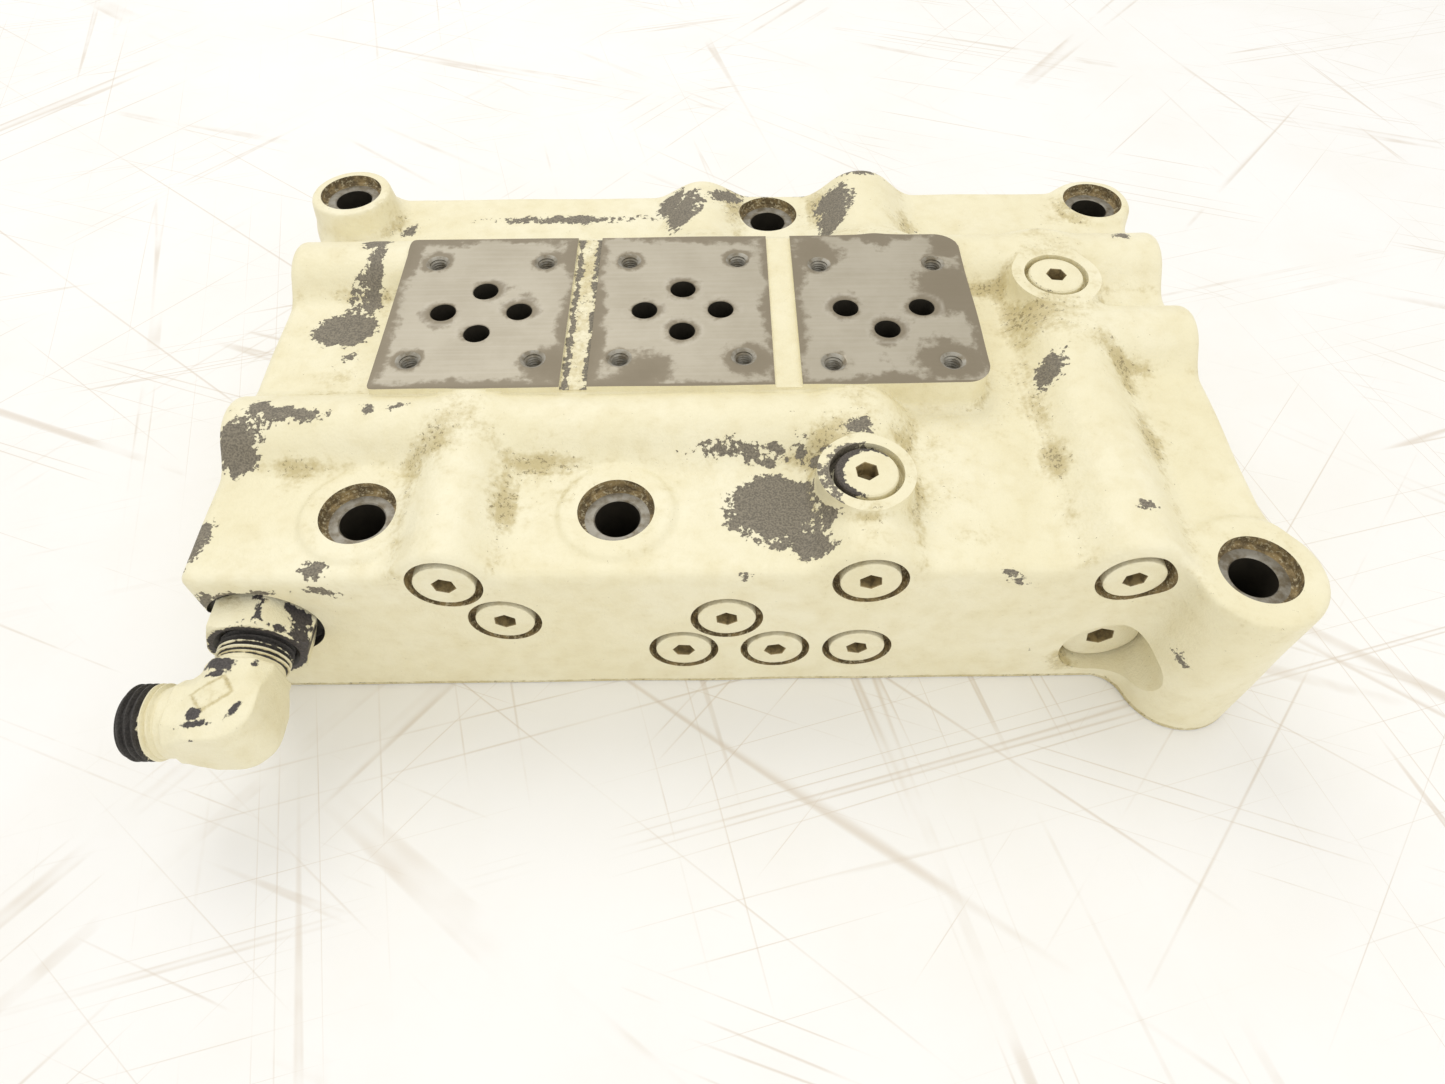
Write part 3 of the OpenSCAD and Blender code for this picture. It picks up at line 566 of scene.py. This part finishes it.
# Bare seats under the screw heads; the drilled holes, oily iron painted near black, which also paints
# in their shade; and the caked gaps
seat, tree, shader, here = finish_nodes("bare_seat")
cloud = noise(tree, here, 3, 4, 0.65)
tree.links.new(mix(tree, step(tree, cloud, 0.35, 0.7), (0.33, 0.31, 0.26), (0.17, 0.14, 0.09)),
               shader.inputs["Base Color"])
shader.inputs["Metallic"].default_value = 0.5
shader.inputs["Roughness"].default_value = 0.5
bore, tree, shader, here = finish_nodes("oily_bore_and_shade")
cloud = noise(tree, here, 2.5, 4, 0.65)
tree.links.new(mix(tree, cloud, (0.012, 0.011, 0.009), (0.045, 0.038, 0.026)),
               shader.inputs["Base Color"])
shader.inputs["Roughness"].default_value = 0.45
grime, tree, shader, here = finish_nodes("caked_gap")
cloud, fine = noise(tree, here, 3.5, 4, 0.7), noise(tree, here, 0.9, 3, 0.7)
brown = mix(tree, step(tree, cloud, 0.4, 0.65), (0.13, 0.095, 0.045), (0.34, 0.25, 0.115))
flecks = step(tree, fine, 0.53, 0.63, (0.0, 0.8))
tree.links.new(mix(tree, flecks, brown, (0.58, 0.51, 0.33)), shader.inputs["Base Color"])
shader.inputs["Roughness"].default_value = 0.75
tree.links.new(add(tree, "Bump", Height=fine, Strength=0.6, Distance=0.0003),
               shader.inputs["Normal"])

for number, material in enumerate((painted, milled, seat, bore, grime)):
    body.data.materials[number] = material
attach(body, "manifold")
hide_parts("manifold_body")

# ------------------------------------------------------------------ port plugs
# Turned steel plugs with a hexagon socket, screwed in over a seal ring and painted over with
# the casting. Ten are flush with the face they close; the larger one sits in a milled pocket.
SOCKET = 1
dark_socket, tree, shader, here = finish_nodes("dirty_socket")
cloud = noise(tree, here, 2.4, 4, 0.65)
tree.links.new(mix(tree, step(tree, cloud, 0.35, 0.65), (0.36, 0.27, 0.12), (0.16, 0.12, 0.055)),
               shader.inputs["Base Color"])
shader.inputs["Roughness"].default_value = 0.6
plug_paint = enamel("plug_steel_painted", (0.085, 0.07, 0.055), 0.8, 0.7, 0.2)


def hexagon(across_flats, limit=None):
    """Radius of a hexagon at an angle, cut back to a limit where the corners are turned."""
    def radius(angles):
        r = across_flats / 2 / np.cos((angles + np.pi / 6) % (np.pi / 3) - np.pi / 6)
        return np.minimum(r, limit) if limit else r
    return radius


def screw_thread(r, pitch, depth, height):
    """Radius of a helical thread at one height."""
    def radius(angles):
        phase = (height / pitch - angles / (2 * np.pi)) % 1
        return r - depth * (1 - np.clip(1.35 - abs(4 * phase - 2) * 0.9, 0, 1))
    return radius


def plug_shape(head_r, head_h, chamfer, across_flats, thread_r, length):
    pitch = 1.27
    depth = 0.6 * pitch
    rows = [(0, -head_h - length, 0), (thread_r - depth, -head_h - length, 0)]
    for height in np.arange(-head_h - length + 0.3, -head_h - 2.4, 0.32):
        rows.append((screw_thread(thread_r, pitch, depth, height), height, 0))
    rows += [(thread_r - 1.1, -head_h - 2.2, 0), (thread_r - 1.1, -head_h, 0),
             (head_r - 0.2, -head_h, 0), (head_r, -head_h + 0.2, 0), (head_r, -chamfer, 0)]
    for part in (0.3, 0.65, 1.0):
        turn = part * math.pi / 2
        rows.append((head_r - chamfer * (1 - math.cos(turn)), -chamfer * (1 - math.sin(turn)), 0))
    inner = np.linspace(head_r - chamfer, across_flats / 2 + 1.0, 7)[1:]
    rows += [(r, 0, 0) for r in inner]
    return rows + [(hexagon(across_flats + 0.3), 0, 0), (hexagon(across_flats), -0.15, SOCKET),
                   (hexagon(across_flats), -head_h - 0.9, SOCKET),
                   (across_flats / 2 - 0.3, -head_h - 1.0, SOCKET), (0, -head_h - 2, SOCKET)]


plugs = [("front_plug_%d" % (i + 1), on_front(*p), (7.1, 3.4, 0.3, 4.76, 5.56, 10))
         for i, p in enumerate(FRONT_PLUGS)]
plugs.append(("low_plug", on_front(*LOW_PLUG) @ Matrix.Translation((0, 0, -LOW_SUNK)),
              (9.9, 4.0, 0.5, 6.35, 7.14, 11)))
plugs.append(("top_plug_front", on_top(*TOP_PLUGS[0]), (7.6, 3.4, 0.9, 4.76, 5.56, 10)))
plugs.append(("top_plug_rear", on_top(*TOP_PLUGS[1]), (7.6, 3.4, 0.9, 4.76, 5.56, 10)))
turns = [10, -6, 25, 4, -18, 14, 8, 0, 12, 5, 22]
for (name, place, sizes), turn in zip(plugs, turns):
    facing = place @ Matrix.Rotation(math.radians(turn), 4, "Z")
    points, faces, finish = turned(plug_shape(*sizes), facing, 60)
    plug = make("painted_" + name, points, faces, finish)
    local = (np.c_[points_of(plug), np.ones(len(plug.data.vertices))]
             @ np.array(facing.inverted()).T)[:, :3]
    away = np.hypot(local[:, 0], local[:, 1])
    worn = np.full(len(away), -3.0)
    if name == "top_plug_front":
        rubbed_side = np.cos(np.arctan2(local[:, 1], local[:, 0]) - math.radians(150 - turn))
        worn = 1.0 - abs(away - 7.2) + 1.3 * rubbed_side - 0.35
    if name == "top_plug_rear":
        rubbed_side = np.cos(np.arctan2(local[:, 1], local[:, 0]) - math.radians(205 - turn))
        worn = 0.2 - abs(away - 7.3) + 0.9 * rubbed_side - 1.0
    # The head is made darker over its outer 0.6 mm, next to the gap.
    record(plug, chip=worn, dirt=np.clip(1 - (sizes[0] - away) / 0.6, 0, 1) * 0.3)
    plug.data.materials.append(plug_paint)
    plug.data.materials.append(dark_socket)
    smooth(plug, 28)
    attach(plug, "manifold")
    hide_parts(name)

# ------------------------------------------------------------------ seal rings
# Moulded black rubber rings, one under each plug head and one on the elbow's port end. They
# lie in the chamfer of the port and are squeezed as the fitting is screwed in.
rubber, tree, shader, here = finish_nodes("seal_rubber")
cloud = noise(tree, here, 1.5, 3)
tree.links.new(mix(tree, cloud, (0.012, 0.012, 0.012), (0.035, 0.034, 0.032)),
               shader.inputs["Base Color"])
tree.links.new(step(tree, cloud, 0.2, 0.8, (0.4, 0.6)), shader.inputs["Roughness"])
tree.links.new(add(tree, "Bump", Height=cloud, Strength=0.3, Distance=0.00005),
               shader.inputs["Normal"])
for name, node in frame["nodes"].items():
    if "seal" in name:
        node.material_slots[0].material = rubber

# ------------------------------------------------------------------ tube elbow
# A forged steel 90 degree elbow, octagonal in section, with a straight thread into the
# casting and a longer one for the tube nut. A blank diamond pad is forged on its top flat.
BEND, LEG, HALF, CUT = 25.6, 22.2, 8.4, 3.6
HUB, ARM, FLOW_R = 13.4, 11.6, 4.0
STUD_R, STUD_PITCH, TUBE_R, TUBE_PITCH = 8.33, 1.337, 8.73, 1.588
elbow_place = on_front(*ELBOW)

cell = 0.28
low = np.array([-14.0, -10.5, 11.5])
count = np.ceil((np.array([10.5, 10.5, 36.0]) - low) / cell).astype(int)
u, v, w = [
    (low[i] + cell * np.arange(count[i])).reshape(np.roll([-1, 1, 1], i)).astype(np.float32)
    for i in range(3)
]


def octagon(a, b):
    corner = (abs(a) + abs(b)) / math.sqrt(2) - (2 * HALF - CUT) / math.sqrt(2)
    return trim(np.maximum(abs(a) - HALF, abs(b) - HALF), corner, 0.7)


arms = join(np.maximum(octagon(u, v), HUB - w), np.maximum(octagon(v, w - BEND), u - HALF), 3.0)
back = np.hypot(np.maximum(u, 0), np.maximum(w - BEND, 0)) - HALF
forging = trim(trim(arms, back, 0.9), np.maximum(-ARM - u, HUB - w), 0.7)
turn = math.radians(40)
along = (u + 1.7) * math.cos(turn) - (w - BEND + 2.6) * math.sin(turn)
across = (u + 1.7) * math.sin(turn) + (w - BEND + 2.6) * math.cos(turn)
pad = np.maximum(abs(along) - 3.7, abs(across) - 2.7) + 0 * v
forging = join(forging, trim(pad, abs(v - HALF) - 0.45, 0.15), 0.1) + 0.05
forging = forging + 0.04 * np.sin(u / 1.9) * np.sin(w / 2.3) * np.sin(v / 2.1 + 1)
forging = np.clip(forging, -3 * cell, 3 * cell).astype(np.float32)
skin, quads = skin_of(forging, low, cell)
skin = (np.c_[skin, np.ones(len(skin))] @ np.array(elbow_place).T)[:, :3]


def threaded_end(r, pitch, start, length, neck, collar):
    """Threaded bar from its end face up to the neck behind the thread."""
    depth = 0.58 * pitch
    core = r - depth
    rows = [(FLOW_R, start, 2), (core - 1.2, start, 1), (core - 0.1, start + 0.1, 1)]
    for height in np.arange(start + 0.2, start + length, pitch / 7):
        lead = max(0, min(1, (height - start) / 1.1, (start + length - height) / 0.8))
        rows.append((screw_thread(r - (1 - lead) * depth, pitch, depth * lead, height), height, 1))
    return rows + [(core - 0.1, start + length + 0.2, 0), (collar, start + length + 0.5, 0),
                   (collar, neck, 0), (FLOW_R, neck, 2)]


stud = threaded_end(STUD_R, STUD_PITCH, -1.2, 13.3, 14.4, 7.7)
inner = [(FLOW_R, -17, 2), (6.4, -17, 1), (7.4, -16.8, 1)]
for height in np.arange(-16.6, -7.6, STUD_PITCH / 4):
    inner.append((screw_thread(STUD_R, STUD_PITCH, 0.75, height), height, 1))
inner += [(7.0, -7.3, 1), (7.0, -1.0, 1), (FLOW_R, -1.0, 2)]
leg = elbow_place @ Matrix.Translation((-LEG, 0, BEND)) @ Matrix.Rotation(math.radians(90), 4, "Y")
parts = [(skin, quads.tolist(), [0] * len(quads)), turned(stud, elbow_place, 84, True),
         turned(inner, elbow_place, 84, True)]
tube_end = threaded_end(TUBE_R, TUBE_PITCH, 0.0, 8.3, 12.0, 8.1)
tube_end[1:2] = [(5.1, 0.0, 1), (5.1, 2.4, 2), (6.5, 2.4, 2), (6.5, 0.0, 1), (6.9, 0.0, 1)]
parts.append(turned(tube_end, leg, 84, True))
elbow = make("forged_elbow", *together(parts))
at, up = points_of(elbow), normals_of(elbow)
ELBOW_WORN = [
    (-104, -98.2, 4.6, 1.5, 0), (-96.4, -98, 1, 0.7, 90), (-104.3, -101, 2.8, 0.8, 10),
    (-105.8, -111, 2, 1.7, 0), (-105, -113.3, 6, 0.7, 2), (-97, -110, 2, 0.9, 60),
    (-104, -117.7, 1.7, 0.8, -40), (-90, -112, 0.9, 0.5, 40), (-96.5, -120.7, 0.7, 0.4, 0)]
chipped = np.where(up[:, 2] > 0.1, bare(at, ELBOW_WORN), -3.0)
bare_end = np.clip(-118.2 - at[:, 0], -3, 3)
out = np.hypot(at[:, 0] - ELBOW[0], at[:, 2] - ELBOW[1])
# Where the lock nut runs, the paint is scraped off the thread. In front of the nut the thread valleys
# are darkened as painted shade, with dark bare metal painted in their roots.
nut_wear_and_valley_shade = np.where(out < STUD_R + 0.1, np.clip(1.5 * (at[:, 1] + 92.0), -3, 2), -3)
depth = np.where(at[:, 1] > -95.2, np.clip((STUD_R - out) / 0.7, 0, 1), 0)
nut_wear_and_valley_shade = np.maximum(nut_wear_and_valley_shade, 2.4 * depth - 1.35 + 0.25 * np.clip(at[:, 1] + 93, -3, 2))
valley_shade = np.clip(depth * 1.5, 0, 1)
px, py = at[:, 0] - ELBOW[0] + 1.7, at[:, 1] - FRONT + BEND - 2.6
along, across = px * math.cos(turn) + py * math.sin(turn), py * math.cos(turn) - px * math.sin(turn)
edge = np.maximum(abs(along) - 3.7, abs(across) - 2.7)
mark = np.clip(0.25 + 0.7 * np.clip(1 - abs(edge) / 0.7, 0, 1), 0, 1) * (edge < 0.7)
record(elbow, chip=np.maximum(chipped, np.maximum(bare_end, nut_wear_and_valley_shade)),
       dirt=np.maximum(0.95 * valley_shade, mark * (at[:, 2] > ELBOW[1] + HALF - 1)))
for material in (enamel("elbow_steel_painted", (0.075, 0.065, 0.06), 0.7, 0.45, 0.25),
                 enamel("elbow_thread_painted", (0.045, 0.04, 0.035), 0.6, 0.5, 0.5), bore):
    elbow.data.materials.append(material)
smooth(elbow, 30)
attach(elbow, "elbow")
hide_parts("elbow_body")

# ------------------------------------------------------------------ lock nut
# A thin steel hexagon nut that runs on the elbow's port thread. It presses the backup washer
# and seal ring into the port once the elbow points the right way. Both faces are chamfered.
NUT_AF, NUT_H, NUT_TURN, WASHER_H = 22.2, 9.0, 8.0, 1.2
corner_r = NUT_AF / math.sqrt(3)
rows = []
for height in (0, 0.3, 0.6, 0.9, 1.5, 3.0, 4.5, 6.0, 7.5, 8.1, 8.4, 8.7, 9.0):
    limit = corner_r - 1.3 + 1.45 * min(height, NUT_H - height) / 0.9
    rows.append((hexagon(NUT_AF, limit), height, 0))
rows += [(STUD_R + 1.3, NUT_H, 0), (STUD_R + 0.1, NUT_H - 0.9, 1), (STUD_R + 0.1, 0.7, 1),
         (STUD_R + 0.6, 0, 1)]
nut_place = (elbow_place @ Matrix.Translation((0, 0, WASHER_H - SEAT_DEPTH))
             @ Matrix.Rotation(math.radians(NUT_TURN + 30), 4, "Z"))
nut = make("lock_nut_painted", *turned(rows, nut_place, 120, True))
NUT_WORN = [
    (-97.6, -85.5, 3.4, 0.8, 95), (-97, -88.2, 1.3, 0.9, 0), (-101, -88.8, 0.9, 0.5, 20),
    (-91, -84, 3.3, 2, -40), (-90, -89, 3, 1.7, -60), (-93, -89, 2.6, 0.8, -5),
    (-99.5, -82.2, 3, 0.7, 0)]
at = points_of(nut)
rim = np.clip(1.4 - 0.9 * np.hypot(at[:, 0] - ELBOW[0], at[:, 2] - ELBOW[1]) + 8.7, -3, 1)
rim = np.where(at[:, 1] < -89.8, rim, -3)
# The nut is made darker towards the casting's face.
record(nut, chip=np.maximum(rim, np.where(at[:, 2] > ELBOW[1] - 4, bare(at, NUT_WORN), -3)),
       dirt=np.clip(1 + (at[:, 1] + 83) / 4, 0, 1) * 0.4)
nut.data.materials.append(enamel("nut_steel_painted", (0.07, 0.06, 0.055), 0.7, 0.6, 0.3))
nut.data.materials.append(bore)
smooth(nut, 25)
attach(nut, "nut")
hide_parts("lock_nut")

# ------------------------------------------------------------------ backup washer
# A flat steel ring between the lock nut and the seal, punched from strip and left unpainted.
# It turns with the nut's pressure and is dark with oil.
oiled, tree, shader, here = finish_nodes("washer_steel")
cloud = noise(tree, here, 2, 4, 0.6)
tree.links.new(mix(tree, cloud, (0.10, 0.09, 0.075), (0.24, 0.22, 0.18)),
               shader.inputs["Base Color"])
shader.inputs["Metallic"].default_value = 0.8
tree.links.new(step(tree, cloud, 0.2, 0.8, (0.35, 0.55)), shader.inputs["Roughness"])
frame["nodes"]["backup_washer"].material_slots[0].material = oiled

# ------------------------------------------------------------------ table, light and camera
# A white painted table top with faint scratches, a bright even room, and one large soft lamp
# above and behind to the left.
mesh = bpy.data.meshes.new("table")
mesh.from_pydata([(-3, -3, 0), (3, -3, 0), (3, 3, 0), (-3, 3, 0)], [], [(0, 1, 2, 3)])
table = bpy.data.objects.new("table", mesh)
table.location.z = -0.0002
bpy.context.scene.collection.objects.link(table)
white, tree, shader, here = finish_nodes("table_white")
cloud = noise(tree, here, 60, 5, 0.6)
tone = mix(tree, step(tree, cloud, 0.35, 0.75, (0.0, 0.5)), (0.86, 0.853, 0.835), (0.82, 0.80, 0.75))
for number, (angle, size, width, along) in enumerate([
        (20, 48, 0.005, 0.02), (-50, 60, 0.005, 0.02), (75, 40, 0.005, 0.025),
        (-15, 30, 0.005, 0.02), (38, 75, 0.005, 0.02)]):
    turned_here = add(tree, "Mapping", Vector=here, Rotation=(0, 0, math.radians(angle)),
                      Location=(0.3 * number, 0.1, 0))
    turned_here = add(tree, "Mapping", Vector=turned_here, Scale=(along, 1.6, 1))
    line = noise(tree, turned_here, size, 2, 0.5)
    line = step(tree, calc(tree, "ABSOLUTE", calc(tree, "SUBTRACT", line, 0.5)), 0.0, width,
                (1.0, 0.0))
    broken = step(tree, noise(tree, here, 90 + 25 * number, 5, 0.6), 0.46, 0.6, (0.0, 0.6))
    tone = mix(tree, calc(tree, "MULTIPLY", line, broken), tone, (0.62, 0.54, 0.44))
tree.links.new(tone, shader.inputs["Base Color"])
shader.inputs["Roughness"].default_value = 0.55
mesh.materials.append(white)

scene = bpy.context.scene
scene.view_settings.view_transform = "Standard"
world = bpy.data.worlds.new("room")
scene.world = world
world.use_nodes = True
world.node_tree.nodes["Background"].inputs["Color"].default_value = (1.0, 0.985, 0.955, 1)
world.node_tree.nodes["Background"].inputs["Strength"].default_value = 0.91
for name, place, size, power in [("key", (-0.35, 0.75, 1.3), 0.9, 6.0),
                                 ("fill", (0.5, -0.9, 0.9), 1.0, 3.4)]:
    lamp = bpy.data.lights.new(name, "AREA")
    lamp.size, lamp.energy = size, power
    holder = bpy.data.objects.new(name, lamp)
    scene.collection.objects.link(holder)
    holder.location = place
    aim = Matrix.Translation(place).to_translation()
    holder.rotation_euler = (-aim).to_track_quat("-Z", "Y").to_euler()

lens = bpy.data.cameras.new("camera")
lens.sensor_width, lens.lens = 36.0, 22.347
camera = bpy.data.objects.new("camera", lens)
camera.location = (0.009433, -0.197262, 0.220182)
camera.rotation_euler = Euler([math.radians(a) for a in (36.1788, 0.2813, -0.6661)])
scene.collection.objects.link(camera)
scene.camera = camera
